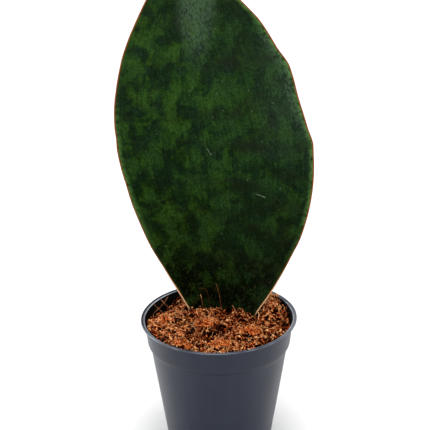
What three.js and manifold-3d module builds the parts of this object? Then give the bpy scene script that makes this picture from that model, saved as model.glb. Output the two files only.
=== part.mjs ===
// A snake plant of the whale-fin kind: one broad leaf in a 12 cm nursery pot filled with coconut coir.
// Millimetres, +Z up. The origin is the centre of the pot's base, on the surface that it stands on.
// +X is to the viewer's right and +Y points away from the viewer, to the back of the plant.
import * as THREE from "three";
import { mergeVertices } from "three/addons/utils/BufferGeometryUtils.js";
import Module from "manifold-3d";

const wasm = await Module();
wasm.setup();

// ---- Driving dimensions ----

const GAP = 0.3; // clearance between pieces that touch
const CUT_GAP = 0.4; // clearance of a bed cut round a sloping piece, which leaves GAP across the slope

// Nursery pot: a thin moulded cup with a stacking collar and a flat lip
const POT_HEIGHT = 105;
const POT_WALL = 1;
const LIP_RADIUS = 60;
const LIP_THICKNESS = 1.6;
const LIP_WIDTH = 3;
const LIP_ROUNDING = 0.6;
const COLLAR_HEIGHT = 20.5;
const COLLAR_TOP_RADIUS = 57;
const COLLAR_FOOT_RADIUS = 54.8;
const COLLAR_STEP = 1.2; // height of the sloping step under the collar
const LEDGE_RISE = 0.4; // how far the ledge inside the pot lies above the step outside it
const BODY_TOP_RADIUS = 52.8;
const BASE_RADIUS = 39.9;
const BASE_CHAMFER = 1;
const DRAIN_HOLES = 8;
const DRAIN_HOLE_RADIUS = 3.5;
const DRAIN_RING_RADIUS = 28;
const POT_SEGMENTS = 60;

// Coir bed: its general level, then mounds (+) and hollows (-) as [x, y, height, spread]
const BED_LEVEL = 101.6;
const BED_RELIEF = [
  [-50, 23, -6, 11],
  [-40, 38, -3, 9],
  [57, 4, -4, 8],
  [2, 54, -2.2, 14],
  [44, 31, 2.3, 11],
  [0, -46, 0.8, 15],
  [-8.7, -27, -2.2, 5],
  [3, -18.5, -1.8, 4.5],
  [-27, 6, 1.2, 9],
  [14, -2, 1, 8],
];
const BED_RIPPLE = 0.3; // height of the small unevenness between the mounds
const RIPPLE_X = 3.6;
const RIPPLE_Y = 3.1;
const BED_EDGE_FALL = 7; // the most that its edge falls under its level
const BED_SEGMENTS = 60;
const BED_RINGS = 12;

// Loose lumps of coir on the bed: [x, y, half length, half width, half height, turn in degrees]
const CLUMPS = [
  [-10, -5, 11, 7, 4.4, 8],
  [-28, -38.5, 9.5, 5.2, 3.8, -36],
  [1, -40.5, 9, 5, 3.4, 4],
  [25, -18, 9, 6.2, 3.8, -30],
  [-42, 3, 8.5, 6.5, 3.6, 70],
  [42, 23, 7, 5, 3, -60],
];
const CLUMP_UNEVENNESS = 0.08;

// Leaf: [height, left edge, right edge, thickness in the middle]
const LEAF_STATIONS = [
  [78, -13, 17, 11],
  [90, -20, 25, 8.5],
  [102, -24.5, 30, 6.6],
  [115, -33, 38.5, 5.6],
  [130, -41, 47, 4.8],
  [150, -52.5, 57, 4],
  [170, -61, 65.5, 3.5],
  [190, -68, 70.5, 3.1],
  [210, -73.3, 72.8, 2.9],
  [230, -77, 72.2, 2.8],
  [250, -78.2, 67.3, 2.7],
  [270, -77, 61, 2.6],
  [290, -73.5, 55.2, 2.5],
  [300, -71, 50.2, 2.45],
  [312, -66.7, 42, 2.4],
  [330, -58.6, 29.7, 2.3],
  [350, -48.3, 9.5, 2.1],
  [362, -41.5, -7, 1.9],
  [370, -36, -20.5, 1.7],
  [373.4, -32, -28, 1.5],
];
const LEAF_TIP = [-30, 374];
const LEAF_MARGIN = 1; // thickness of the hard rim along the edge
const LEAF_FULLNESS = 0.6; // how the thickness falls from the middle to the margin, 0 for not at all
const LEAF_BASE_Y = 30; // how far behind the pot's axis the middle of the blade leaves the bed
const LEAF_LEAN = 0.03; // backward lean of the middle, mm per mm
const LEAF_LEAN_GROWTH = 0.00028; // how fast that lean grows with height
const LEAF_TURN = 11; // degrees by which the blade is turned at the bed, its right edge forward
const LEAF_TURN_BACK = 2; // degrees it is turned the other way at the top
const CHANNEL_SHARE = 0.06; // depth of the hollow across the blade for each mm of its half width
const CHANNEL_BASE = 10; // extra depth of that hollow at the bed
const CHANNEL_FADE = 52; // height over which the extra depth dies away
const BLADE_LENGTH = 290; // height of the blade over which it turns
const LEAF_COLUMNS = 12;
const LEAF_ROWS = 34;
const LEAF_CROWDING = 0.15; // how much closer its sections lie at the tip

// Rhizome under the bed: [x, height, half size across the path, half size along Y]
const RHIZOME_Y = 27;
const RHIZOME = [
  [-25.5, 48, 3.5, 3.5],
  [-24, 48, 6.4, 6.4],
  [-20, 48.2, 8.4, 8.4],
  [-12, 49.5, 9.4, 9],
  [-4.5, 54, 10.2, 9],
  [0, 62, 11.5, 8],
  [2, 71, 13.4, 6.6],
  [2, 77.7, 14.4, 5.6],
];
const RHIZOME_NOSE = 1.2; // how far its old end bulges past the first ring
const RHIZOME_SIDES = 14;

// Roots: [place along the rhizome, angle round it, bearing of the wall that it reaches, its end height]
// Angle 0 leaves towards the viewer and 90 straight down; bearings are degrees from +X towards +Y.
const ROOTS = [
  [0.3, 12, 205, 34],
  [0.33, 82, 228, 12],
  [0.35, 118, 182, 20],
  [0.41, 32, 256, 30],
  [0.45, 96, 268, 10],
  [0.47, 150, 100, 18],
  [0.51, 16, 306, 26],
  [0.56, 66, 342, 34],
];
const ROOT_RADIUS = 1.7;
const ROOT_TIP_RADIUS = 0.7;
const ROOT_DIVE = 0.45; // share of its fall that a root still has before it when it reaches the wall
const ROOT_WALL_GAP = 5; // how far inside the pot's wall a root runs
const ROOT_KNEE = 7; // how far a root runs square to the rhizome before it turns to the wall
const ROOT_SWEEP = 24; // degrees that a root follows the wall
const ROOT_SIDES = 6;
const ROOT_STEPS = 11;

// Loose coir strands that stand out of the bed or lean on the lip, as points along each one
const FIBRE_RADIUS = 0.42;
const FIBRES = [
  [[-11.8, 21, 97.5], [-12.2, 20.8, 103], [-13.1, 20.6, 109], [-14, 20.4, 114.5]],
  [[2.4, 22.2, 97.5], [1.8, 22, 104], [0.2, 21.6, 115], [-1.8, 21.2, 122.8]],
  [[-6.4, 21.6, 97.5], [-7.2, 21.3, 105], [-8.6, 20.8, 115], [-10.6, 20.4, 119.4], [-15.4, 20, 119.8]],
  [[-20.4, 18.8, 97.5], [-20, 18.8, 104], [-18.8, 18.6, 110], [-15.8, 18.2, 112.6], [-15, 18, 115.8]],
  [[15.6, 5.2, 98], [14.8, 5.8, 103], [12.4, 7.8, 107.4], [10.2, 10, 110.4]],
  [[-46.4, 32, 105.7], [-42.9, 26.2, 104.4], [-39.4, 21, 103.1], [-35.6, 16.9, 101.2], [-33.4, 14, 96.5]],
  [[-40.2, 34.6, 105.6], [-43, 23.1, 106], [-47.1, 16.4, 104.2], [-50.8, 11, 102.4], [-51.6, 9.6, 98],
    [-51.8, 9, 92.5]],
  [[-51.2, 23.2, 105.5], [-47.2, 19.4, 102.7], [-44.2, 17.4, 100.6], [-42.6, 16, 95.5]],
  [[30.8, 8, 103.6], [31, 2.4, 103.9], [30.2, -2.6, 103.4], [29.8, -5.4, 98.4]],
  [[50, 12.6, 96], [51.8, 14, 102], [53.2, 16, 106], [56.2, 17.4, 108.2]],
  [[-17, -19, 97.5], [-17.4, -18.6, 102.6], [-19.6, -16, 105.8], [-24, -13, 106.4]],
];
const FIBRE_SIDES = 6;

// ---- Shapes ----

// A closed geometry as a solid that can be joined and cut
function solidFrom(geometry) {
  const bare = geometry.clone();
  bare.deleteAttribute("normal");
  bare.deleteAttribute("uv");
  const merged = mergeVertices(bare, 1e-3);
  const vertProperties = merged.attributes.position.array;
  const triVerts = new Uint32Array(merged.index.array);
  return new wasm.Manifold(new wasm.Mesh({ numProp: 3, vertProperties, triVerts }));
}

function geometryFrom(solid) {
  const mesh = solid.getMesh();
  const geometry = new THREE.BufferGeometry();
  geometry.setAttribute("position", new THREE.BufferAttribute(mesh.vertProperties, 3));
  geometry.setIndex(new THREE.BufferAttribute(mesh.triVerts, 1));
  geometry.computeVertexNormals();
  return geometry;
}

// A closed skin over rings of points, from a first point through the rings to a last point.
// Each ring runs counter-clockwise when seen from the end that the rings lead to.
function loft(first, rings, last) {
  const count = rings[0].length;
  const points = [first, ...rings.flat(), last];
  const end = points.length - 1;
  const at = (ring, i) => 1 + ring * count + (i % count);
  const index = [];
  for (let i = 0; i < count; i++) {
    index.push(0, at(0, i + 1), at(0, i));
    for (let ring = 0; ring < rings.length - 1; ring++) {
      index.push(at(ring, i), at(ring, i + 1), at(ring + 1, i + 1));
      index.push(at(ring, i), at(ring + 1, i + 1), at(ring + 1, i));
    }
    index.push(end, at(rings.length - 1, i), at(rings.length - 1, i + 1));
  }
  const geometry = new THREE.BufferGeometry().setFromPoints(points);
  geometry.setIndex(index);
  geometry.computeVertexNormals();
  return geometry;
}

function vector([x, y, z]) {
  return new THREE.Vector3(x, y, z);
}

function middleOf(ring) {
  const sum = new THREE.Vector3();
  ring.forEach((point) => sum.add(point));
  return sum.divideScalar(ring.length);
}

// A smooth value between hand-set stations, each [place, value, value, ...]
function smoothStations(stations) {
  const places = stations.map((station) => station[0]);
  const values = stations.flatMap((station) => station.slice(1));
  const spline = new THREE.CubicInterpolant(places, values, stations[0].length - 1);
  return (place) => Array.from(spline.evaluate(place));
}

function roundSection(radius, sides) {
  const corners = [];
  for (let i = 0; i < sides; i++) {
    const angle = (i / sides) * 2 * Math.PI;
    corners.push(new THREE.Vector2(radius * Math.cos(angle), radius * Math.sin(angle)));
  }
  return new THREE.Shape(corners);
}

function tube(path, radius, sides, steps) {
  const options = { steps, extrudePath: path, bevelEnabled: false };
  return new THREE.ExtrudeGeometry(roundSection(radius, sides), options);
}

// ---- Nursery pot ----

// Inside of the wall from the floor up to the lip, as [radius, height]
function insideWall() {
  const ledge = POT_HEIGHT - COLLAR_HEIGHT + LEDGE_RISE;
  return [
    [BASE_RADIUS - POT_WALL - BASE_CHAMFER, POT_WALL],
    [BASE_RADIUS - POT_WALL, POT_WALL + BASE_CHAMFER],
    [BODY_TOP_RADIUS - POT_WALL, ledge - COLLAR_STEP],
    [COLLAR_FOOT_RADIUS - POT_WALL, ledge],
    [COLLAR_TOP_RADIUS - POT_WALL, POT_HEIGHT - LIP_THICKNESS - LIP_ROUNDING],
    [LIP_RADIUS - LIP_WIDTH, POT_HEIGHT - LIP_ROUNDING / 2],
  ];
}

// Outline of the pot from the axis under the floor, round the lip, to the axis above the floor
function potProfile() {
  const stepTop = POT_HEIGHT - COLLAR_HEIGHT;
  const lipFoot = POT_HEIGHT - LIP_THICKNESS;
  const r = LIP_ROUNDING;
  return [
    [0, 0],
    [BASE_RADIUS - BASE_CHAMFER, 0],
    [BASE_RADIUS, BASE_CHAMFER],
    [BODY_TOP_RADIUS, stepTop - COLLAR_STEP],
    [COLLAR_FOOT_RADIUS, stepTop],
    [COLLAR_TOP_RADIUS, lipFoot],
    [LIP_RADIUS - r, lipFoot],
    [LIP_RADIUS, lipFoot + r],
    [LIP_RADIUS - 0.3 * r, POT_HEIGHT - 0.3 * r],
    [LIP_RADIUS - 1.4 * r, POT_HEIGHT],
    [LIP_RADIUS - LIP_WIDTH + r, POT_HEIGHT],
    ...insideWall().reverse(),
    [0, POT_WALL],
  ];
}

// Inside radius of the pot at a height above its floor
function potInside(z) {
  const wall = insideWall();
  const upper = Math.max(1, wall.findIndex((point) => point[1] >= z));
  const [r0, z0] = wall[upper - 1];
  const [r1, z1] = wall[upper];
  return r0 + ((r1 - r0) * (z - z0)) / (z1 - z0);
}

function nurseryPot() {
  const outline = potProfile().map(([r, z]) => new THREE.Vector2(r, z));
  const cup = new THREE.LatheGeometry(outline, POT_SEGMENTS).rotateX(Math.PI / 2);
  let pot = solidFrom(cup);
  for (let i = 0; i < DRAIN_HOLES; i++) {
    const angle = ((i + 0.5) / DRAIN_HOLES) * 2 * Math.PI;
    const drill = new THREE.CylinderGeometry(DRAIN_HOLE_RADIUS, DRAIN_HOLE_RADIUS, 4 * POT_WALL, 12);
    drill.rotateX(Math.PI / 2);
    drill.translate(DRAIN_RING_RADIUS * Math.cos(angle), DRAIN_RING_RADIUS * Math.sin(angle), 0);
    pot = pot.subtract(solidFrom(drill));
  }
  return pot;
}

// ---- Leaf ----

const leafStation = smoothStations(LEAF_STATIONS);

// Y of the blade's mid-surface at a height, for a point at x; across runs from -1 at the left edge to 1
function bladeY(z, x, across, half) {
  const up = Math.max(0, z - LEAF_STATIONS[2][0]);
  const share = Math.min(1, up / BLADE_LENGTH);
  const turn = LEAF_TURN * (1 - share) ** 1.5 - LEAF_TURN_BACK * share;
  const channel = CHANNEL_SHARE * half + CHANNEL_BASE * Math.exp(-up / CHANNEL_FADE);
  const buried = THREE.MathUtils.smoothstep(z, LEAF_STATIONS[0][0], LEAF_STATIONS[2][0]);
  const middle = LEAF_BASE_Y + LEAF_LEAN * up + LEAF_LEAN_GROWTH * up * up;
  const sheathY = RHIZOME_Y + (middle - RHIZOME_Y) * buried;
  return sheathY - channel * buried * across * across - Math.tan(turn * buried * THREE.MathUtils.DEG2RAD) * x;
}

// One level section of the leaf: its front from left to right, then its back from right to left
function leafSection(z) {
  const [left, right, thickness] = leafStation(z);
  const middle = (left + right) / 2;
  const half = (right - left) / 2;
  const front = [];
  const back = [];
  for (let i = 0; i <= LEAF_COLUMNS; i++) {
    const across = Math.sin((i / LEAF_COLUMNS - 0.5) * Math.PI);
    const x = middle + across * half;
    const wall = LEAF_MARGIN + (thickness - LEAF_MARGIN) * (1 - across * across) ** LEAF_FULLNESS;
    const y = bladeY(z, x, across, half);
    front.push(new THREE.Vector3(x, y - wall / 2, z));
    back.unshift(new THREE.Vector3(x, y + wall / 2, z));
  }
  return [...front, ...back];
}

// A level ring moved outwards
function widened(ring, grow) {
  return ring.map((point, i) => {
    const before = ring[(i + ring.length - 1) % ring.length];
    const after = ring[(i + 1) % ring.length];
    const out = new THREE.Vector3(after.y - before.y, before.x - after.x, 0).normalize();
    return point.clone().addScaledVector(out, grow);
  });
}

// Heights of the leaf's sections, closer together towards the tip
function leafHeights() {
  const foot = LEAF_STATIONS[0][0];
  const top = LEAF_STATIONS[LEAF_STATIONS.length - 1][0];
  const heights = [];
  for (let row = 0; row <= LEAF_ROWS; row++) {
    const share = row / LEAF_ROWS;
    heights.push(foot + (top - foot) * share * (1 + LEAF_CROWDING * (1 - share)));
  }
  return heights;
}

function leaf() {
  const rings = leafHeights().map(leafSection);
  const [tipX, tipZ] = LEAF_TIP;
  const tip = new THREE.Vector3(tipX, bladeY(tipZ, tipX, 0, 0), tipZ);
  return solidFrom(loft(middleOf(rings[0]), rings, tip));
}

// The space that the leaf's foot takes in the bed
function leafSocket() {
  const rings = leafHeights()
    .filter((z) => z < POT_HEIGHT + 8)
    .map((z) => widened(leafSection(z), CUT_GAP));
  rings[0].forEach((point) => (point.z -= CUT_GAP));
  return solidFrom(loft(middleOf(rings[0]), rings, middleOf(rings[rings.length - 1])));
}

// ---- Rhizome and roots ----

// Centre, across and along-Y half sizes of the rhizome at a share of its length, with its direction
function rhizomeAt(share) {
  const path = new THREE.CatmullRomCurve3(RHIZOME.map(([x, z]) => new THREE.Vector3(x, RHIZOME_Y, z)));
  const place = share * (RHIZOME.length - 1);
  const before = Math.min(Math.floor(place), RHIZOME.length - 2);
  const mix = place - before;
  const size = (column) => RHIZOME[before][column] * (1 - mix) + RHIZOME[before + 1][column] * mix;
  return { centre: path.getPoint(share), along: path.getTangent(share), across: size(2), deep: size(3) };
}

// A level last ring keeps the seat of the leaf flat
function rhizomeRing(share, grow) {
  const { centre, along, across, deep } = rhizomeAt(share);
  if (share === 1) along.set(0, 0, 1);
  const viewer = new THREE.Vector3(0, -1, 0);
  const normal = new THREE.Vector3().crossVectors(along, viewer);
  const ring = [];
  for (let i = 0; i < RHIZOME_SIDES; i++) {
    const angle = (-i / RHIZOME_SIDES) * 2 * Math.PI;
    const point = centre.clone();
    point.addScaledVector(normal, (across + grow) * Math.cos(angle));
    point.addScaledVector(viewer, (deep + grow) * Math.sin(angle));
    ring.push(point);
  }
  return ring;
}

function rhizome(grow) {
  const rings = [];
  const steps = 2 * (RHIZOME.length - 1);
  for (let i = 0; i <= steps; i++) rings.push(rhizomeRing(i / steps, grow));
  rings[steps].forEach((point) => (point.z += grow));
  rings[0].forEach((point) => (point.x -= grow));
  const first = middleOf(rings[0]);
  first.x -= RHIZOME_NOSE;
  return solidFrom(loft(first, rings, middleOf(rings[steps])));
}

// A point beside the pot's wall
function besideWall(bearing, z) {
  const angle = bearing * THREE.MathUtils.DEG2RAD;
  const radius = potInside(z) - ROOT_WALL_GAP;
  return new THREE.Vector3(radius * Math.cos(angle), radius * Math.sin(angle), z);
}

// A root leaves the rhizome square to it, dives to the wall and follows the wall down
function rootPath([share, around, bearing, endHeight]) {
  const { centre, along, across, deep } = rhizomeAt(share);
  const viewer = new THREE.Vector3(0, -1, 0);
  const down = new THREE.Vector3().crossVectors(along, viewer);
  const angle = around * THREE.MathUtils.DEG2RAD;
  const away = viewer.multiplyScalar(Math.cos(angle)).addScaledVector(down, Math.sin(angle));
  const reach = Math.hypot(deep * Math.cos(angle), across * Math.sin(angle));
  const start = centre.clone().addScaledVector(away, reach + GAP);
  const knee = start.clone().addScaledVector(away, ROOT_KNEE);
  const turn = Math.sign(Math.sin((bearing - 90) * THREE.MathUtils.DEG2RAD)) * ROOT_SWEEP;
  const fall = start.z - endHeight;
  const wall = besideWall(bearing, endHeight + ROOT_DIVE * fall);
  const halfway = besideWall(bearing + turn / 2, endHeight + (ROOT_DIVE / 2) * fall);
  const end = besideWall(bearing + turn, endHeight);
  return new THREE.CatmullRomCurve3([start, knee, wall, halfway, end]);
}

// A tapering round body along a root's path; its first end is square to the path
function root(spec, grow) {
  const path = rootPath(spec);
  const frames = path.computeFrenetFrames(ROOT_STEPS, false);
  const rings = [];
  for (let i = 0; i <= ROOT_STEPS; i++) {
    const share = i / ROOT_STEPS;
    const radius = ROOT_RADIUS + (ROOT_TIP_RADIUS - ROOT_RADIUS) * share + grow;
    const centre = path.getPointAt(share);
    const ring = [];
    for (let side = 0; side < ROOT_SIDES; side++) {
      const angle = (side / ROOT_SIDES) * 2 * Math.PI;
      const point = centre.clone();
      point.addScaledVector(frames.normals[i], radius * Math.cos(angle));
      point.addScaledVector(frames.binormals[i], radius * Math.sin(angle));
      ring.push(point);
    }
    rings.push(ring);
  }
  rings[0].forEach((point) => point.addScaledVector(frames.tangents[0], -grow));
  const first = middleOf(rings[0]);
  const last = path.getPointAt(1).addScaledVector(frames.tangents[ROOT_STEPS], ROOT_TIP_RADIUS + grow);
  return solidFrom(loft(first, rings, last));
}

// ---- Coir ----

// Height of the bed's surface above the base
function bedHeight(x, y) {
  let z = BED_LEVEL;
  for (const [cx, cy, height, spread] of BED_RELIEF) {
    z += height * Math.exp(-((x - cx) ** 2 + (y - cy) ** 2) / (2 * spread ** 2));
  }
  const ripple = Math.sin(x / RIPPLE_X) * Math.cos(y / RIPPLE_Y) + Math.sin((x + y) / (RIPPLE_X + RIPPLE_Y));
  return z + BED_RIPPLE * ripple;
}

function circle(segments, pointAt) {
  const ring = [];
  for (let i = 0; i < segments; i++) ring.push(pointAt((i / segments) * 2 * Math.PI));
  return ring;
}

// The filling of the pot under the bed's surface, its top raised by lift
function bedBody(lift) {
  const level = (z, wallHeight) => {
    const radius = potInside(wallHeight) - GAP;
    return circle(BED_SEGMENTS, (a) => new THREE.Vector3(radius * Math.cos(a), radius * Math.sin(a), z));
  };
  const surface = (share) =>
    circle(BED_SEGMENTS, (a) => {
      const radius = share * (potInside(BED_LEVEL - BED_EDGE_FALL) - GAP);
      const x = radius * Math.cos(a);
      const y = radius * Math.sin(a);
      return new THREE.Vector3(x, y, bedHeight(x, y) + lift);
    });
  const stepTop = POT_HEIGHT - COLLAR_HEIGHT + LEDGE_RISE;
  const floor = POT_WALL + GAP;
  const rings = [level(floor, POT_WALL), level(floor + BASE_CHAMFER, floor + BASE_CHAMFER)];
  rings.push(level(stepTop - COLLAR_STEP + GAP, stepTop - COLLAR_STEP));
  rings.push(level(stepTop + 1.5 * GAP, stepTop));
  for (let i = BED_RINGS; i > 0; i--) rings.push(surface(i / BED_RINGS));
  const foot = new THREE.Vector3(0, 0, floor);
  return solidFrom(loft(foot, rings, new THREE.Vector3(0, 0, bedHeight(0, 0) + lift)));
}

function fibre(points, grow) {
  const path = new THREE.CatmullRomCurve3(points.map(vector));
  const steps = 3 * (points.length - 1);
  return solidFrom(tube(path, FIBRE_RADIUS + grow, FIBRE_SIDES, steps));
}

// The hole that a strand is pushed into, a little longer than the strand at its buried end
function fibreSocket(points) {
  const buriedFirst = points[0][2] < points[points.length - 1][2];
  const [end, next] = (buriedFirst ? points.slice(0, 2) : points.slice(-2).reverse()).map(vector);
  const beyond = end.clone().addScaledVector(end.clone().sub(next).normalize(), GAP);
  const foot = tube(new THREE.LineCurve3(beyond, next), FIBRE_RADIUS + CUT_GAP, FIBRE_SIDES, 1);
  return fibre(points, CUT_GAP).add(solidFrom(foot));
}

// The bed is the filling less the spaces of all that is planted in it
function coirBed() {
  let bed = bedBody(0).subtract(leafSocket()).subtract(rhizome(CUT_GAP));
  for (const spec of ROOTS) bed = bed.subtract(root(spec, CUT_GAP));
  for (const points of FIBRES) bed = bed.subtract(fibreSocket(points));
  return bed;
}

// A lump is an uneven egg shape whose underside follows the bed
function clump([x, y, length, width, height, turn]) {
  const egg = new THREE.SphereGeometry(1, 14, 9);
  const position = egg.attributes.position;
  for (let i = 0; i < position.count; i++) {
    const p = new THREE.Vector3().fromBufferAttribute(position, i);
    p.multiplyScalar(1 + CLUMP_UNEVENNESS * Math.sin(5 * p.x + x) * Math.cos(4 * p.y + y));
    position.setXYZ(i, p.x, p.y, p.z);
  }
  egg.scale(length, width, height);
  egg.rotateZ(turn * THREE.MathUtils.DEG2RAD);
  egg.translate(x, y, bedHeight(x, y));
  let lump = solidFrom(egg).subtract(bedBody(GAP));
  for (const points of FIBRES) lump = lump.subtract(fibreSocket(points));
  return lump;
}

// ---- The plant, put together ----

function finish(color, roughness) {
  return new THREE.MeshStandardMaterial({ color, roughness, metalness: 0 });
}

function piece(name, solid, material) {
  const mesh = new THREE.Mesh(geometryFrom(solid), material);
  mesh.name = name;
  return mesh;
}

const plant = new THREE.Group();
plant.add(piece("nursery_pot", nurseryPot(), finish(0x33393f, 0.45)));
plant.add(piece("coir_bed", coirBed(), finish(0x7a4227, 0.95)));
plant.add(piece("leaf", leaf(), finish(0x1f3319, 0.5)));
plant.add(piece("rhizome", rhizome(0), finish(0xc98f55, 0.7)));
ROOTS.forEach((spec, i) => {
  plant.add(piece(`root_${i + 1}`, root(spec, 0), finish(0xd8b98a, 0.8)));
});
CLUMPS.forEach((spec, i) => {
  plant.add(piece(`coir_clump_${i + 1}`, clump(spec), finish(0xa8683a, 0.95)));
});
FIBRES.forEach((points, i) => {
  plant.add(piece(`coir_fibre_${i + 1}`, fibre(points, 0), finish(0xb9743c, 0.85)));
});

export default plant;
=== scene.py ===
"""The looks of a whale-fin snake plant: one broad leaf, rooted in coconut coir in a 12 cm nursery pot."""

import math

import bpy
import numpy as np
from mathutils import Matrix


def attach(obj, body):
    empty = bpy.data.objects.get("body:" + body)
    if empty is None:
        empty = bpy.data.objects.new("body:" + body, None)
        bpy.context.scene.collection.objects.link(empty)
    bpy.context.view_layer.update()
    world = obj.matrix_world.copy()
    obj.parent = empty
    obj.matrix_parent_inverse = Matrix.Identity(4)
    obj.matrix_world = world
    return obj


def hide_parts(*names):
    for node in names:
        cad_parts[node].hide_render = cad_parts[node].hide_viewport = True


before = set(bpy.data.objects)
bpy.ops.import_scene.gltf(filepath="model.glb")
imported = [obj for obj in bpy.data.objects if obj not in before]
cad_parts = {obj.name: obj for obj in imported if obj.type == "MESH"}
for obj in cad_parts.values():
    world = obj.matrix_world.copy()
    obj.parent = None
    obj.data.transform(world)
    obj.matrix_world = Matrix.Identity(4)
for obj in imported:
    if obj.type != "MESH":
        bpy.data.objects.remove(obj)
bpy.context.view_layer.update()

# --------------------------------------------------------------------------------------------------
# The nursery pot. One thin moulding of dark slate-grey polypropylene: a flat base with eight drain
# holes, a body that widens upwards, a stacking collar and a flat lip. It comes out of the mould satin
# smooth, with faint streaks that follow the flow of the plastic up the wall.

MM = 0.001
POT_OUTSIDE = [
    # radius, height
    (14, 0), (38.9, 0), (39.9, 1), (52.7, 82.4), (54.9, 85.2), (57.1, 103.4), (60, 103.4), (60, 105),
]
POT_INSIDE = [(57, 104.4), (53.8, 85.8), (51.7, 82.8), (38.9, 2), (37.9, 1), (14, 1)]
POT_ROUNDING = [0, 0.8, 0.8, 2.5, 1.8, 0.5, 0.6, 0.75, 0.5, 1.8, 2.5, 1, 1, 0]
POT_AROUND = 256
POT_CORNER_STEPS = 6
POT_WALL_STEPS = 10
BASE_STIFFENS = 30
COLLAR_STIFFENS = 25
COLLAR_FOOT = 84
COLLAR_HEIGHT = 18
POT_SAG = 0.16
LIP_LIFT = 0.45
LIP_TILT = 1.25
LIP_TILT_TURN = math.radians(37)
LIP_FACE = 104.2
SHARP_EDGE = math.radians(40)
DRAIN_HOLES = 8
DRAIN_HOLE_RADIUS = 3.5
DRAIN_RING_RADIUS = 28
CUTTER_SIDES = 32
CUTTER_ENDS = (-3.0, 4.0)


def skin(name, bodies, **marks):
    """Makes one object of closed bodies. bodies[b, i, j] is point j of ring i of body b, in
    millimetres. Each ring closes on itself and is joined to the next one by quads, and the two end
    rings are closed by a fan to their middle. A mark is a number, or three, for each of these points,
    which the material reads as an attribute."""
    bodies = bodies.reshape((-1,) + bodies.shape[-3:])
    count, rings, sides = bodies.shape[:3]

    def with_middles(values):
        ends = values[:, [0, -1]].mean(2)
        return np.concatenate([values.reshape((count, rings * sides) + values.shape[3:]), ends], 1)

    points = with_middles(bodies).reshape(-1, 3) * MM
    ring = np.arange(rings - 1)[:, None] * sides
    here = np.arange(sides)
    beside = (here + 1) % sides
    quads = np.stack([ring + here, ring + beside, ring + sides + beside, ring + sides + here], -1)
    last = (rings - 1) * sides
    foot = np.full(sides, rings * sides)
    foot_fan = np.stack([beside, here, foot], -1)
    top_fan = np.stack([last + here, last + beside, foot + 1], -1)
    body_start = np.arange(count)[:, None, None] * (rings * sides + 2)
    quads = (quads.reshape(-1, 4) + body_start).reshape(-1, 4)
    fans = (np.concatenate([foot_fan, top_fan]) + body_start).reshape(-1, 3)
    first, second, third = points[np.concatenate([quads[:, :3], quads[:, [0, 2, 3]], fans]).T]
    if np.einsum("ij,ij->", first, np.cross(second, third)) < 0:
        quads = quads[:, ::-1]
        fans = fans[:, ::-1]
    mesh = bpy.data.meshes.new(name)
    mesh.vertices.add(len(points))
    mesh.vertices.foreach_set("co", points.ravel())
    mesh.loops.add(quads.size + fans.size)
    mesh.loops.foreach_set("vertex_index", np.concatenate([quads.ravel(), fans.ravel()]))
    mesh.polygons.add(len(quads) + len(fans))
    starts = np.concatenate([np.arange(len(quads)) * 4, quads.size + np.arange(len(fans)) * 3])
    mesh.polygons.foreach_set("loop_start", starts)
    mesh.update(calc_edges=True)
    mesh.shade_smooth()
    for mark, values in marks.items():
        three = (3,) if values.size == bodies.size else ()
        kind, field = ("FLOAT_VECTOR", "vector") if three else ("FLOAT", "value")
        values = with_middles(values.reshape((count, rings, sides) + three))
        mesh.attributes.new(mark, kind, "POINT").data.foreach_set(field, values.ravel())
    made = bpy.data.objects.new(name, mesh)
    bpy.context.scene.collection.objects.link(made)
    return made


def rounded(corners, radii, steps):
    """A profile whose corners are eased. Each corner becomes a parabola that starts and ends at most
    its radius away, and never past the middle of the stretch beside it."""
    corners = np.asarray(corners, float)
    back = np.roll(corners, 1, 0) - corners
    ahead = np.roll(corners, -1, 0) - corners
    back_length = np.linalg.norm(back, axis=1, keepdims=True)
    ahead_length = np.linalg.norm(ahead, axis=1, keepdims=True)
    reach = np.asarray(radii, float)[:, None]
    start = corners + back / back_length * np.minimum(reach, back_length * 0.49)
    end = corners + ahead / ahead_length * np.minimum(reach, ahead_length * 0.49)
    t = np.linspace(0, 1, steps)[:, None, None]
    eased = (1 - t) ** 2 * start + 2 * t * (1 - t) * corners + t**2 * end
    return eased.transpose(1, 0, 2)


def pot_profile():
    """The wall's whole section, from the base's middle out, up the outside, over the lip and down the
    inside, with each straight stretch divided evenly."""
    eased = rounded(POT_OUTSIDE + POT_INSIDE, POT_ROUNDING, POT_CORNER_STEPS)
    t = np.linspace(0, 1, POT_WALL_STEPS, endpoint=False)[1:, None]
    straights = eased[:-1, -1, None] * (1 - t) + eased[1:, 0, None] * t
    parts = [np.concatenate(pair) for pair in zip(eased[:-1], straights)] + [eased[-1][:1]]
    profile = np.concatenate(parts)
    keep = np.append(True, np.linalg.norm(np.diff(profile, axis=0), axis=1) > 1e-3)
    return profile[keep]


def pot_inside(z):
    """The radius of the pot's inner face at each height, from its floor to the top of the lip."""
    radii, heights = np.array(POT_INSIDE[4::-1] + POT_OUTSIDE[-1:]).T
    return np.interp(z, heights, radii)


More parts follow.
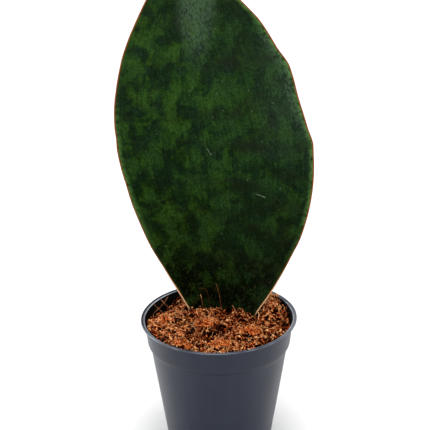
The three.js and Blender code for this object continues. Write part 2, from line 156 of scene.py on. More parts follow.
def lathe(profile, around):
    """Turns the profile round the Z axis. The thin wall gives a little between base and collar: its
    radius swings by a few slow waves round the pot, which fade out at the stiff base and at the
    collar. The lip isn't quite level: above the collar's foot it rises by a constant and by the
    cosine of the turn, most at the right and back."""
    turn = np.linspace(0, 2 * np.pi, around, endpoint=False)
    radius, height = profile[:, :1], profile[:, 1:]
    give = np.clip(height / BASE_STIFFENS, 0, 1) * np.clip((COLLAR_FOOT - height) / COLLAR_STIFFENS, 0, 1)
    waves = np.sin(5 * turn + 0.6) * 0.5 + np.sin(9 * turn + 2.1) * 0.35 + np.sin(14 * turn + 4) * 0.2
    radius = radius + POT_SAG * give * waves
    lifted = np.clip((height - COLLAR_FOOT - 1) / COLLAR_HEIGHT, 0, 1)
    rise = lifted * (LIP_LIFT + LIP_TILT * np.cos(turn - LIP_TILT_TURN))
    return np.stack([radius * np.cos(turn), radius * np.sin(turn), height + rise], -1)


def drain_hole_cutters():
    """Eight upright cylinders on a ring, as closed bodies that pass through the base."""
    spot = (np.arange(DRAIN_HOLES) + 0.5) / DRAIN_HOLES * 2 * np.pi
    turn = np.linspace(0, 2 * np.pi, CUTTER_SIDES, endpoint=False)
    x = DRAIN_RING_RADIUS * np.cos(spot)[:, None, None] + DRAIN_HOLE_RADIUS * np.cos(turn)
    y = DRAIN_RING_RADIUS * np.sin(spot)[:, None, None] + DRAIN_HOLE_RADIUS * np.sin(turn)
    z = np.array(CUTTER_ENDS)[None, :, None]
    x, y, z = np.broadcast_arrays(x, y, z)
    return skin("drain_hole_cutters", np.stack([x, y, z], -1))


def cut(piece, cutter):
    """Takes the cutter's bodies out of the piece for good, and removes the cutter."""
    boolean = piece.modifiers.new("cut", "BOOLEAN")
    boolean.operation = "DIFFERENCE"
    boolean.object = cutter
    whole = bpy.data.meshes.new_from_object(piece.evaluated_get(bpy.context.evaluated_depsgraph_get()))
    piece.modifiers.clear()
    piece.data = whole
    bpy.data.objects.remove(cutter)
    whole.shade_smooth()
    whole.set_sharp_from_angle(angle=SHARP_EDGE)


class Wire:
    """One output of a shader node. +, - and * on wires add Math nodes, and node() adds any other."""

    def __init__(self, tree, socket=None):
        self.tree = tree
        self.socket = socket

    def node(self, kind, settings=None, sockets=None, out=0):
        """Adds a node: first its settings, where stops are a ramp's (position, colour) pairs, then
        the values or wires of its sockets."""
        made = self.tree.nodes.new("ShaderNode" + kind)
        for key, value in (settings or {}).items():
            if key == "stops":
                points = made.color_ramp.elements
                for _ in value[2:]:
                    points.new(1)
                for point, (position, colour) in zip(points, value):
                    point.position = position
                    point.color = (*colour, 1)
            else:
                setattr(made, key, value)
        for key, value in (sockets or {}).items():
            if isinstance(value, Wire):
                self.tree.links.new(value.socket, made.inputs[key])
            else:
                made.inputs[key].default_value = value
        return Wire(self.tree, made.outputs[out])

    def math(self, operation, *values):
        return self.node("Math", {"operation": operation}, dict(enumerate(values)))

    def __add__(self, other):
        return self.math("ADD", self, other)

    def __radd__(self, other):
        return self.math("ADD", other, self)

    def __sub__(self, other):
        return self.math("SUBTRACT", self, other)

    def __rsub__(self, other):
        return self.math("SUBTRACT", other, self)

    def __mul__(self, other):
        return self.math("MULTIPLY", self, other)

    def __rmul__(self, other):
        return self.math("MULTIPLY", other, self)

    def highest(self, other):
        return self.math("MAXIMUM", self, other)

    def fade(self, low, high):
        """0 at low, 1 at high, and a soft step between them."""
        sockets = {"Value": self, "From Min": low, "From Max": high}
        return self.node("MapRange", {"interpolation_type": "SMOOTHSTEP"}, sockets)

    def stretch(self, x, y, z):
        """These coordinates, multiplied along each axis."""
        return self.node("Mapping", {}, {"Vector": self, "Scale": (x, y, z)})

    def noise(self, size, detail=3, roughness=0.5, distortion=0):
        """Cloudy noise, 0 to 1, with lumps of about this size in millimetres."""
        sockets = {"Vector": self, "Scale": 1 / (size * MM), "Detail": detail, "Roughness": roughness}
        return self.node("TexNoise", {}, {**sockets, "Distortion": distortion})

    def blend(self, low, high, kind="MIX"):
        """The colour low where this wire is 0, and high where it is 1. Each is a wire or a colour."""
        ends = [value if isinstance(value, Wire) else (*value, 1) for value in (low, high)]
        settings = {"data_type": "RGBA", "blend_type": kind}
        return self.node("Mix", settings, {0: self, 6: ends[0], 7: ends[1]}, 2)

    def bump(self, distance):
        """A normal that this wire's height bends, over a distance in millimetres."""
        return self.node("Bump", {}, {"Height": self, "Distance": distance * MM}, "Normal")

    def into(self, shader, name):
        self.tree.links.new(self.socket, shader.inputs[name])


def finish_material(name, **fixed):
    """An empty material. Returns it, its Principled shader with the fixed sockets set, and a loose
    wire of its node tree."""
    made = bpy.data.materials.new(name)
    made.use_nodes = True
    shader = made.node_tree.nodes["Principled BSDF"]
    for key, value in fixed.items():
        shader.inputs[key.replace("_", " ")].default_value = value
    return made, shader, Wire(made.node_tree)


def pot_plastic():
    """Satin slate-grey plastic: slow flow streaks up the wall, a faint skin texture, a few dull
    spots, and a painted highlight along the lip's edges. Its inner face is painted dull and nearly
    black as shade, and painted shade also lies under the collar's foot and on the lip's back left."""
    made, shader, wire = finish_material("pot_plastic", Specular_IOR_Level=0.4)
    place = wire.node("TexCoord", out="Object")
    dirt = wire.node("Attribute", {"attribute_name": "dirt"}, {}, "Fac")
    rubbed = wire.node("Attribute", {"attribute_name": "rubbed"}, {}, "Fac")
    streak = place.stretch(1, 1, 0.03).noise(11, 3, 0.55)
    fine_streak = place.stretch(1, 1, 0.05).noise(2.2, 2, 0.5)
    cloud = place.noise(26, 3, 0.5)
    tone = streak * 0.6 + fine_streak * 0.15 + cloud * 0.25
    colour = tone.fade(0.36, 0.66).blend((0.001, 0.006, 0.024), (0.006, 0.013, 0.035))
    dust = place.noise(0.9, 2, 0.7).fade(0.68, 0.8) * cloud.fade(0.45, 0.7)
    colour = (dust * 0.35).blend(colour, (0.09, 0.09, 0.09))
    # A painted highlight: the lip's edges are made pale.
    lip_highlight = rubbed * (0.25 + place.noise(24, 2, 0.6).fade(0.38, 0.62) * 0.75)
    lip_highlight.blend(colour, (0.36, 0.41, 0.47)).into(shader, "Base Color")
    (0.36 + streak * 0.1 + dust * 0.1).into(shader, "Roughness")
    (place.noise(0.6, 2, 0.5) + fine_streak * 0.6).bump(0.02).into(shader, "Normal")
    # The inner face's painted shade: a dull, nearly black plastic.
    shade_colour = cloud.fade(0.3, 0.7).blend((0.003, 0.003, 0.003), (0.008, 0.006, 0.005))
    dull = {"Base Color": shade_colour, "Specular IOR Level": 0.04, "Roughness": 0.7}
    darkened = wire.node("BsdfPrincipled", {}, dull)
    both = wire.node("MixShader", {}, {0: dirt, 1: Wire(wire.tree, shader.outputs[0]), 2: darkened})
    both.into(made.node_tree.nodes["Material Output"], "Surface")
    return made


def dress(piece, material, slot, *nodes):
    """Gives the piece its material and its place on the one body, and hides the nodes that it
    replaces. The slot is not used.
    """
    piece.data.materials.append(material)
    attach(piece, "root")
    if nodes:
        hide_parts(*nodes)


def bell(value, middle, spread):
    """1 at the middle and less on both sides: e to the minus square of the distance by the spread."""
    return np.exp(-(((value - middle) / spread) ** 2))


profile = pot_profile()
radius, height = profile.T[..., None]
turn = np.linspace(0, 2 * np.pi, POT_AROUND, endpoint=False)
inner_face = np.arange(len(profile))[:, None] > profile[:, 1].argmax() + POT_CORNER_STEPS
lip_face = height > LIP_FACE

# Painted shade: the whole inner face, a faint band under the collar's foot, and a band on the lip's
# back left that stands in for a dark reflection.
under_collar = 0.35 * bell(height, 83.6, 1.6) * (radius > 52) * ~inner_face
back_left = np.clip(np.cos(turn - math.radians(145)) / 0.35 - 1, 0, 1)
back_left_shade = 0.95 * back_left * bell(radius, 59.1, 0.9) * (height > 103.6)
dirt = np.where(inner_face & ~lip_face, 1, under_collar) + back_left_shade

# A painted highlight on the lip: along its inner edge, less at the right, and along its outer edge
# except at the back left.
inner_edge = bell(radius, 57.4, 0.5) * (1 - 0.5 * np.clip(np.cos(turn), 0, 1))
outer_edge = 0.5 * bell(radius, 59.8, 0.3) * (1 - back_left)
rubbed = (inner_edge + outer_edge) * lip_face
nursery_pot = skin("pot", lathe(profile, POT_AROUND), dirt=dirt, rubbed=rubbed)
cut(nursery_pot, drain_hole_cutters())
dress(nursery_pot, pot_plastic(), "pot_plastic", "nursery_pot")

# --------------------------------------------------------------------------------------------------
# The rhizome and roots. The thick underground stem turns up into the leaf's foot, and eight fleshy
# roots run from it down the pot's wall. They are one grown thing with the leaf, and the coir round
# them holds the plant upright.


def underground_skin(name, dull, bright, ring_size):
    """Dry, scaly skin, with the rings that old scale leaves left across it."""
    made, shader, wire = finish_material(name, Specular_IOR_Level=0.25)
    place = wire.node("TexCoord", out="Object")
    patches = place.noise(5, 4, 0.6)
    rings = place.stretch(1, 0.25, 0.25).noise(ring_size, 2, 0.5)
    tone = (patches * 0.6 + rings * 0.4).fade(0.38, 0.64)
    tone.blend(dull, bright).into(shader, "Base Color")
    (0.62 + patches * 0.2).into(shader, "Roughness")
    (rings + patches * 0.5).bump(0.3).into(shader, "Normal")
    return made


def repaint(nodes, material):
    """Puts the material on CAD nodes that stay as they are."""
    for name in nodes:
        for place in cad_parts[name].material_slots:
            place.material = material


repaint(["rhizome"], underground_skin("rhizome_skin", (0.30, 0.13, 0.05), (0.62, 0.36, 0.16), 1.6))
root_names = [f"root_{number}" for number in range(1, 9)]
repaint(root_names, underground_skin("root_skin", (0.42, 0.27, 0.13), (0.72, 0.58, 0.36), 2.4))

# --------------------------------------------------------------------------------------------------
# The coir bed. Chopped husk of coconut: springy orange-brown fibres and crumbs of pith, poured in and
# pressed down. The imported filling has a rough top, painted dark as shade, on which the loose coir lies.

BED_LEVEL = 101.6
BED_RELIEF = np.array([
    # x, y, rise, spread
    (-50, 23, -6, 11), (-40, 38, -3, 9), (57, 4, -4, 8), (2, 54, -2.2, 14), (44, 31, 2.3, 11),
    (0, -46, 0.8, 15), (-8.7, -27, -2.2, 5), (3, -18.5, -1.8, 4.5), (-27, 6, 1.2, 9), (14, -2, 1, 8),
])
HOLLOWS = np.array([
    # x, y, depth, spread; the last two are rises against the wall
    (1, -18, 3.8, 3.4), (-9, -20.5, 3.4, 3.2), (-20, -19.5, 2.6, 3.2), (-11, -31, 2.8, 3.4),
    (26, 10, 2.8, 5), (-24, -33, 1.8, 3), (51, -2, 2, 6), (-42, 31, 2.8, 5), (-34, 41, 1.2, 5),
    (5, 13.5, 2.6, 5), (47, 30, -3.4, 7), (37, 41, -2.6, 7),
])
WALL_GAP = 0.5
BED_FLOOR = 1.3
BED_EDGE = 54
FLOOR_RINGS = 4
WALL_FOOT = 2.1
WALL_RINGS = 14
CRUST_RINGS = 96
CRUST_AROUND = 288
CRUST_DROP = 2.8
CRUST_ROUGHNESS = 1.0
HEAP_COUNT = 170
HEAP_REACH = 56
HEAP_SIZE = 5.8
HEAP_RISE = 3.2
LUMP_RISE = 0.8


def bells(x, y, table):
    """The sum of a soft bell for each row of the table: its place, its height and its spread."""
    total = 0 * x
    for middle_x, middle_y, rise, spread in table:
        total = total + rise * np.exp(-((x - middle_x) ** 2 + (y - middle_y) ** 2) / (2 * spread**2))
    return total


def bed_height(x, y):
    """The bed's level, with its mounds and dips."""
    return BED_LEVEL + bells(x, y, BED_RELIEF)


def ripples(x, y, size, seed, waves=22):
    """A rough surface, about -1 to 1: cosine waves added up, with random directions and phases, each
    about this size from crest to crest."""
    draw = np.random.default_rng(seed)
    heading = draw.uniform(0, 2 * np.pi, waves)
    number = 2 * np.pi / (size * draw.uniform(0.7, 1.5, waves))
    phase = draw.uniform(0, 2 * np.pi, waves)
    run = x[..., None] * np.cos(heading) + y[..., None] * np.sin(heading)
    return np.cos(run * number + phase).sum(-1) * math.sqrt(2 / waves) * 0.6


def heaps(x, y):
    """The highest of many small round heaps at random places, about -2 to 1, so that narrow gaps stay
    between them. Each is a parabola of its own reach and rise."""
    draw = np.random.default_rng(1)
    away = HEAP_REACH * np.sqrt(draw.uniform(0, 1, HEAP_COUNT))
    turn = draw.uniform(0, 2 * np.pi, HEAP_COUNT)
    reach = HEAP_SIZE * draw.uniform(0.6, 1.4, HEAP_COUNT)
    rise = HEAP_RISE * draw.uniform(0.5, 1, HEAP_COUNT)
    square = (x[..., None] - away * np.cos(turn)) ** 2 + (y[..., None] - away * np.sin(turn)) ** 2
    return (rise * np.clip(1 - square / reach**2, -0.3, 1)).max(-1) - 1.6


def small_lumps(x, y):
    """Lumps of about 3.4 mm on the heaps, -1 to 1."""
    return np.clip(ripples(x, y, 3.4, 4), -1, 1)


def loose_height(x, y):
    """The level of the loose top: the bed's, with its heaps and lumps, and its hollows sunk in."""
    height = bed_height(x, y) + heaps(x, y) + LUMP_RISE * small_lumps(x, y)
    return height - bells(x, y, HOLLOWS)


def crust_height(x, y):
    """The crust lies a little under the loose top, roughened by waves of 4.5 and 2.4 mm."""
    rough = ripples(x, y, 4.5, 2) + 0.6 * ripples(x, y, 2.4, 3)
    return loose_height(x, y) - CRUST_DROP + CRUST_ROUGHNESS * rough


def packed_bed():
    """The filling, closed: rings run from the middle of the pot's floor out, up beside the wall, whose
    radius they follow, and back to the middle over the rough top."""
    turn = np.linspace(0, 2 * np.pi, CRUST_AROUND, endpoint=False)
    edge_height = bed_height(BED_EDGE * np.cos(turn), BED_EDGE * np.sin(turn)) - CRUST_DROP
    reach = np.linspace(1, 0.01, CRUST_RINGS)[:, None] * (pot_inside(edge_height) - WALL_GAP)
    x, y = reach * np.cos(turn), reach * np.sin(turn)
    top = crust_height(x, y)
    floor_radius = np.linspace(0.02, 1, FLOOR_RINGS)[:, None] * (pot_inside(1) - WALL_GAP) + 0 * turn
    wall_z = WALL_FOOT + (top[0] - WALL_FOOT) * np.linspace(0, 0.97, WALL_RINGS)[:, None]
    radius = np.concatenate([floor_radius, pot_inside(wall_z) - WALL_GAP, reach])
    height = np.concatenate([BED_FLOOR + 0 * floor_radius, wall_z, top])
    rough = np.concatenate([0 * floor_radius, 0 * wall_z, top - loose_height(x, y) + CRUST_DROP])
    points = np.stack([radius * np.cos(turn), radius * np.sin(turn), height], -1)
    return skin("coir_packed", points, depth=rough)


def coir(name, dark, middle, bright, speckling, pitting=0):
    """Coir by its shade, 0 to 1: nearly black, dark, middle, bright and, at the very top, a pale straw
    that is partly a painted highlight. Grit speckles it, dark pits of some millimetres, a painted
    shade, break it up, and it varies within each bit."""
    made, shader, wire = finish_material(name, Specular_IOR_Level=0.02)
    place = wire.node("TexCoord", out="Object")
    shade = wire.node("Attribute", {"attribute_name": "shade"}, {}, "Fac")
    fine = place.noise(0.9, 3, 0.6)
    grit = place.noise(1.5, 2, 0.7).fade(0.42, 0.54)
    # Painted shade: dark pits of some millimetres.
    pits = place.noise(3.8, 3, 0.6, 0.4).fade(0.42, 0.49)
    broken = (1 - speckling + grit * speckling) * (1 - pitting + pits * pitting)
    tone = shade * broken + (fine - 0.5) * 0.25
    # The pale straw at the top of the ramp is partly a painted highlight.
    black, straw_and_highlight = (0.0006, 0.0002, 0.0001), (1, 0.56, 0.24)
    stops = [(0.17, black), (0.38, dark), (0.57, middle), (0.84, bright), (1, straw_and_highlight)]
    tone.node("ValToRGB", {"stops": stops}, {"Fac": tone}).into(shader, "Base Color")
    (0.6 + fine * 0.2).into(shader, "Roughness")
    (fine + grit * 0.5).bump(0.25).into(shader, "Normal")
    return made


def packed_coir():
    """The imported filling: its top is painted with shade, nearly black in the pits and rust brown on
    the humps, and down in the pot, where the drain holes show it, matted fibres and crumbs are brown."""
    made, shader, wire = finish_material("coir_packed", Specular_IOR_Level=0.1)
    place = wire.node("TexCoord", out="Object")
    depth = wire.node("Attribute", {"attribute_name": "depth"}, {}, "Fac")
    low = wire.node("SeparateXYZ", {}, {"Vector": place}, "Z").fade(0.088, 0.070)
    crumbs = place.noise(1.3, 4, 0.65)
    fibres = place.stretch(1, 0.3, 0.3).noise(1.4, 3, 0.6)
    tone = (depth * 0.3 + crumbs).fade(0.35, 1.1)
    # Painted shade: the top is nearly black in its pits.
    darkened = tone.blend((0.0008, 0.0002, 0.0001), (0.03, 0.006, 0.001))
    dry = (fibres * 0.5 + crumbs * 0.5).fade(0.36, 0.66).blend((0.03, 0.009, 0.003), (0.36, 0.12, 0.04))
    low.blend(darkened, dry).into(shader, "Base Color")
    (0.75 + crumbs * 0.2).into(shader, "Roughness")
    (fibres * 0.4 + crumbs).bump(0.5).into(shader, "Normal")
    return made


dress(packed_bed(), packed_coir(), "coir", "coir_bed")

# --------------------------------------------------------------------------------------------------
# The leaf. One thick, stiff blade, grown from the rhizome: narrow and channelled at its foot, broad
# above, with a dark, leathery, mottled face, a red-orange margin line that pales near the foot, and a
# short blunt tip.

LEAF_STATIONS = np.array([
    # height, left edge, right edge, thickness in the middle
    (78, -13, 17, 11), (90, -20, 25, 8.5), (102, -24.5, 30, 6.6), (115, -33, 38.5, 5.6),
    (130, -41, 47, 4.8), (150, -52.5, 57, 4), (170, -61, 65.5, 3.5), (190, -68, 70.5, 3.1),
    (210, -73.3, 72.8, 2.9), (230, -77, 72.2, 2.8), (250, -78.2, 67.3, 2.7), (270, -77, 61, 2.6),
    (290, -73.5, 55.2, 2.5), (300, -71, 50.2, 2.45), (312, -66.7, 42, 2.4), (330, -58.6, 29.7, 2.3),
    (350, -48.3, 9.5, 2.1), (362, -41.5, -7, 1.9), (370, -36, -20.5, 1.7), (373.4, -32, -28, 1.5),
    (374, -30.6, -29.4, 1.1),
])
LEAF_MARGIN = 1
LEAF_FULLNESS = 0.6
LEAF_BASE_Y = 30
LEAF_LEAN = 0.03
LEAF_LEAN_GROWTH = 0.00028
LEAF_TURN = 11
LEAF_TURN_BACK = 2
RHIZOME_Y = 27
BURIED = 102
CHANNEL_SHARE = 0.06
CHANNEL_BASE = 10
CHANNEL_FADE = 52
BLADE_LENGTH = 290
LEAF_NICKS = [
    # side, height, shift outwards, spread along the margin
    (1, 237, 1.1, 4.5), (1, 305, -0.8, 4.5), (1, 295, 0.6, 4), (1, 160, 0.5, 5), (1, 341, -1.3, 8),
    (-1, 237, -0.5, 4), (-1, 200, -0.4, 6), (-1, 116, -0.8, 5), (-1, 262, 0.25, 6),
]
LEAF_ROWS = 236
LEAF_COLUMNS = 92
MARGIN_STEPS = 7


def along_leaf(z, column):
    """A station column at any height, on cubics with the slopes of a smooth curve at the stations."""
    knots, values = LEAF_STATIONS[:, 0], LEAF_STATIONS[:, column]
    slopes = np.gradient(values, knots)
    spot = np.clip(np.searchsorted(knots, z, "right") - 1, 0, len(knots) - 2)
    step = knots[spot + 1] - knots[spot]
    t = (z - knots[spot]) / step
    from_here = (2 * t**3 - 3 * t**2 + 1) * values[spot] + (t**3 - 2 * t**2 + t) * step * slopes[spot]
    from_next = (3 * t**2 - 2 * t**3) * values[spot + 1] + (t**3 - t**2) * step * slopes[spot + 1]
    return from_here + from_next


def blade_y(z, x, across, half):
    """Where the blade's middle layer lies: it leans back more and more, sinks into a channel across
    its width, is turned a little about the upright, and at its foot bends over to the rhizome."""
    up = np.maximum(0, z - BURIED)
    share = np.minimum(1, up / BLADE_LENGTH)
    turn = np.radians(LEAF_TURN * (1 - share) ** 1.5 - LEAF_TURN_BACK * share)
    channel = CHANNEL_SHARE * half + CHANNEL_BASE * np.exp(-up / CHANNEL_FADE)
    t = np.clip((z - LEAF_STATIONS[0, 0]) / (BURIED - LEAF_STATIONS[0, 0]), 0, 1)
    risen = t * t * (3 - 2 * t)
    middle = LEAF_BASE_Y + LEAF_LEAN * up + LEAF_LEAN_GROWTH * up**2
    sheath = RHIZOME_Y + (middle - RHIZOME_Y) * risen
    wave = 0.35 * np.sin(z / 19 + x / 31) * np.sin(x / 17 + 1.3) * np.minimum(1, up / 60)
    return sheath - channel * risen * across**2 - np.tan(turn * risen) * x + wave


def leaf_surface():
    """Rings round the blade, from its foot to its tip. Each runs across the front, round one margin
    on a half circle, back across the rear and round the other margin. Columns crowd towards the
    margins."""
    top = LEAF_STATIONS[-1, 0]
    rise = np.linspace(0, 1, LEAF_ROWS) ** 0.92
    z = (LEAF_STATIONS[0, 0] + (top - LEAF_STATIONS[0, 0]) * rise)[:, None]
    left, right, thick = along_leaf(z, 1), along_leaf(z, 2), along_leaf(z, 3)
    for side, nick_z, shift, spread in LEAF_NICKS:
        bulge = shift * np.exp(-((z - nick_z) ** 2) / (2 * spread**2))
        left, right = (left - bulge, right) if side < 0 else (left, right + bulge)
    middle, half = (left + right) / 2, (right - left) / 2
    front = np.sin(np.linspace(-np.pi / 2, np.pi / 2, LEAF_COLUMNS))
    bend = np.linspace(-np.pi / 2, np.pi / 2, MARGIN_STEPS)[1:-1]
    across = np.concatenate([front, np.ones(len(bend)), front[::-1], -np.ones(len(bend))])
    outward = np.concatenate([0 * front, np.cos(bend), 0 * front, -np.cos(bend)])
    rearward = np.concatenate([0 * front - 1, np.sin(bend), 0 * front + 1, -np.sin(bend)])
    margin = np.minimum(LEAF_MARGIN, half * 1.2)
    inner_half = half - margin / 2
    full = margin + (thick - margin) * (1 - across**2) ** LEAF_FULLNESS
    x = middle + across * inner_half
    y = blade_y(z, x, across, inner_half) + rearward * full / 2
    x = x + outward * margin / 2
    edge = (inner_half * (1 - np.abs(across)) + margin / 2 * (1 - np.abs(outward))) * MM
    grain = np.stack(np.broadcast_arrays(across * 0.075, 0.02 * rearward, z * MM), -1)
    points = np.stack(np.broadcast_arrays(x, y, z), -1)
    return skin("leaf_blade", points, edge=edge, grain=grain)


SCRATCHES = [
    # left-right place, height, half length, half width, slant in degrees
    (-7.2, 227.8, 2.6, 0.35, -60), (-5.4, 225.2, 1.2, 0.4, -30), (32.2, 193.8, 4.2, 0.3, -18),
    (35.2, 192.6, 1.3, 0.5, -24),
]


def leaf_skin():
    """Leathery green: soft fresh green blotches on dark blue-green, smoky dark patches and bands, a
    fine granular grain, a painted grey-green sheen near the upper middle, a paler rim that is painted
    light, the margin line, a few pale scratches, and dust of the coir near the foot."""
    gloss = {"Specular_IOR_Level": 0.13, "Specular_Tint": (0.3, 0.7, 0.12, 1)}
    made, shader, wire = finish_material("leaf_skin", **gloss)
    place = wire.node("TexCoord", out="Object")
    grain = wire.node("Attribute", {"attribute_name": "grain"}, {}, "Vector")
    edge = wire.node("Attribute", {"attribute_name": "edge"}, {}, "Fac")
    side = wire.node("SeparateXYZ", {}, {"Vector": place}, "X")
    height = wire.node("SeparateXYZ", {}, {"Vector": place}, "Z")
    front = wire.node("SeparateXYZ", {}, {"Vector": grain}, "Y").fade(0.005, -0.005)
    speckle = place.noise(1.7, 3, 0.8)
    grit = place.noise(1.05, 2, 0.7)
    line = grain.stretch(1, 1, 0.03).noise(1.2, 2, 0.5)
    stroke = grain.stretch(1, 1, 0.6).noise(1.5, 4, 0.7)
    broad = place.noise(52, 2, 0.5)
    flecks = place.stretch(1, 1, 1.3).noise(4.2, 3, 0.65)
    cloud = place.stretch(1, 1, 0.85).noise(12, 3, 0.55, 0.45)
    blotch = cloud + (flecks - 0.5) * 0.3 + (stroke - 0.5) * 0.16
    smoke = place.stretch(0.5, 1, 1.2).noise(11, 4, 0.6, 0.5)
    hue = place.stretch(1, 1, 0.8).noise(15, 3, 0.55, 0.3)
    cool = (side + broad * 0.05).fade(0.0, 0.055)
    fine = (speckle * 0.4 + grit * 0.4 + line * 0.2).fade(0.42, 0.58)

    # The blotches, their warm and cool stretches, the fine grain and the smoky bands.
    stops = [
        (0.36, (0.0042, 0.0130, 0.0065)),
        (0.435, (0.0075, 0.024, 0.007)),
        (0.495, (0.015, 0.047, 0.006)),
        (0.62, (0.033, 0.091, 0.012)),
    ]
    colour = blotch.node("ValToRGB", {"stops": stops}, {"Fac": blotch})
    colour = (hue.fade(0.42, 0.62) * 0.3 + cool * 0.35).blend(colour, (0.012, 0.034, 0.018))
    colour = (hue.fade(0.48, 0.36) * 0.6).blend(colour, (1.0, 0.80, 0.60), "MULTIPLY")
    open_ground = blotch.fade(0.51, 0.43)
    colour = (stroke.fade(0.50, 0.68) * open_ground * 0.35).blend(colour, (0.030, 0.075, 0.040))
    grainy = (1 - fine) * (0.8 + open_ground * 0.2)
    colour = grainy.blend(colour, (0.18, 0.22, 0.26), "MULTIPLY")
    wave = {"Vector": place, "Scale": 9.5, "Distortion": 9.0, "Detail": 3.0, "Detail Scale": 1.4}
    band = wire.node("TexWave", {"bands_direction": "Z"}, wave, "Fac").fade(0.40, 0.04)
    dark = (smoke + (speckle - 0.5) * 0.12).fade(0.50, 0.66) * 0.6 + band * 0.45
    colour = (dark * (0.2 + cool * 0.6)).blend(colour, (0.0085, 0.0085, 0.0075))

    # It gets darker towards the tip and, more and more, towards the foot.
    low = height.fade(0.245, 0.15) * 0.45 + height.fade(0.165, 0.105) * 0.40
    dim = height.fade(0.30, 0.35) * 0.42 + low + side.fade(-0.005, -0.03) * height.fade(0.22, 0.15) * 0.12
    patchy = (0.78 + speckle.fade(0.58, 0.42) * 0.3) * (1.15 - blotch.fade(0.46, 0.58) * 0.42)
    colour = (dim * patchy).blend(colour, (0.13, 0.04, 0.02), "MULTIPLY")

    # A painted sheen near the upper middle, and a thinner one along the upper right.
    off_side = (side + 0.015) * 66
    off_height = (height - 0.357) * 16
    middle_sheen = (off_side * off_side + off_height * off_height + (broad - 0.5) * 0.8).fade(1.5, 0.0)
    right_sheen = edge.fade(13 * MM, 2 * MM) * side.fade(0.02, 0.04) * height.fade(0.235, 0.26)
    right_sheen = right_sheen * height.fade(0.34, 0.31) * flecks.fade(0.36, 0.56)
    right_haze = side.fade(0.02, 0.05) * height.fade(0.2, 0.26) * height.fade(0.34, 0.30)
    painted_sheen = height.fade(0.2, 0.33) * 0.05 + middle_sheen * 0.58 + right_sheen * 0.55 + right_haze * 0.14
    # The painted sheen's colour: a pale grey-green.
    colour = (stroke.fade(0.26, 0.72) * painted_sheen).blend(colour, (0.110, 0.175, 0.120))

    # The paler rim, a painted light, the pale specks and scratches, and the dust near the foot.
    right_rim = side.fade(-0.02, 0.02) * height.fade(0.14, 0.2)
    middle_rim = height.fade(0.28, 0.23) * height.fade(0.14, 0.18) * 0.75
    rim_light = right_rim.highest(middle_rim) * flecks.fade(0.34, 0.58) * 0.7 + 0.06
    rim_light = edge.fade(5.5 * MM, 0.8 * MM) * rim_light * (0.5 + speckle)
    colour = rim_light.blend(colour, (0.10, 0.22, 0.055))
    cells = {"Vector": place, "Scale": 95.0}
    scratch = wire.node("TexVoronoi", {}, cells, "Distance").fade(0.06, 0.03) * 0.4
    for mark_x, mark_z, half_length, half_width, slant in SCRATCHES:
        mark = {
            "Vector": place,
            "Location": (mark_x * MM, 0, mark_z * MM),
            "Rotation": (0, math.radians(-slant), 0),
            "Scale": (half_length * MM, 1, half_width * MM),
        }
        inside = wire.node("Mapping", {"vector_type": "TEXTURE"}, mark)
        reach = wire.node("VectorMath", {"operation": "LENGTH"}, {0: inside}, "Value")
        scratch = scratch + reach.fade(1.2, 0.5) * (0.3 + speckle * 0.7)
    colour = (scratch * front * 0.75).blend(colour, (0.25, 0.32, 0.20))
    coir_dust = speckle.fade(0.57, 0.66) * height.fade(0.165, 0.11) * 0.5
    colour = coir_dust.blend(colour, (0.075, 0.055, 0.022))

    # The margin line, rust red, and wider with a pale inner part near the foot.
    width = 1.0 * MM + height.fade(0.14, 0.11) * 0.5 * MM
    pale = height.fade(0.145, 0.112) * (edge - width).fade(-0.15 * MM, -0.5 * MM)
    margin = pale.blend((0.26, 0.058, 0.004), (1.0, 0.64, 0.34))
    (edge - width).fade(0.15 * MM, -0.15 * MM).blend(colour, margin).into(shader, "Base Color")
    dull = edge.fade(2 * MM, 0.5 * MM).highest(height.fade(0.155, 0.12))
    (0.38 + speckle * 0.12 + broad * 0.06 + dull * 0.4).into(shader, "Roughness")
    (line * 0.6 + speckle * 0.5).bump(0.05).into(shader, "Normal")
    return made


leaf_blade = leaf_surface()
dress(leaf_blade, leaf_skin(), "leaf_skin", "leaf")

# --------------------------------------------------------------------------------------------------
# The loose top of the coir. Crumbs of pith, short thick bits of husk fibre and longer thin fibres lie
# tumbled over each other on the crust. None of them is fixed: each rests on what is below it, clear
# of leaf and wall.

LEAF_CLEARANCE = 1.2
LEAF_FOOT_TOP = 112
WALL_CLEARANCE = 0.1
SPREAD_RADIUS = 56.5
LOOSE_DEPTH = 2.2


def unit(vectors):
    """Each vector, divided by its length."""
    return vectors / np.linalg.norm(vectors, axis=-1, keepdims=True)


def tubes(paths, radii, sides):
    """A round tube of this radius along each path. The tube's cross axes come from the world axis
    that its path leans to least, so it doesn't twist."""
    along = unit(np.gradient(paths, axis=-2))
    least = np.abs(along).max(-2).argmin(-1)
    first = unit(np.cross(along, np.eye(3)[least][..., None, :]))
    second = np.cross(along, first)
    turn = np.linspace(0, 2 * np.pi, sides, endpoint=False)[:, None]
    spoke = np.cos(turn) * first[..., None, :] + np.sin(turn) * second[..., None, :]
    return paths[..., None, :] + radii[..., None, None] * spoke


def clear_of_leaf_and_wall(points, reach):
    """For each body of points: none is in the leaf's foot, or nearer the wall than its own reach."""
    x, y, z = points[..., 0], points[..., 1], points[..., 2]
    row = np.clip(z, BURIED, LEAF_FOOT_TOP)
    left, right, thick = along_leaf(row, 1), along_leaf(row, 2), along_leaf(row, 3)
    middle, half = (left + right) / 2, (right - left) / 2
    across = np.clip((x - middle) / half, -1, 1)
    off_blade = np.abs(y - blade_y(row, x, across, half)) - thick / 2
    off_edge = np.abs(x - middle) - half
    clear = (off_blade > LEAF_CLEARANCE) | (off_edge > LEAF_CLEARANCE)
    lip_edge = POT_INSIDE[0][1]
    inside = np.hypot(x, y) + reach < pot_inside(np.minimum(z, lip_edge)) - WALL_CLEARANCE
    return (clear & inside).all(-1)


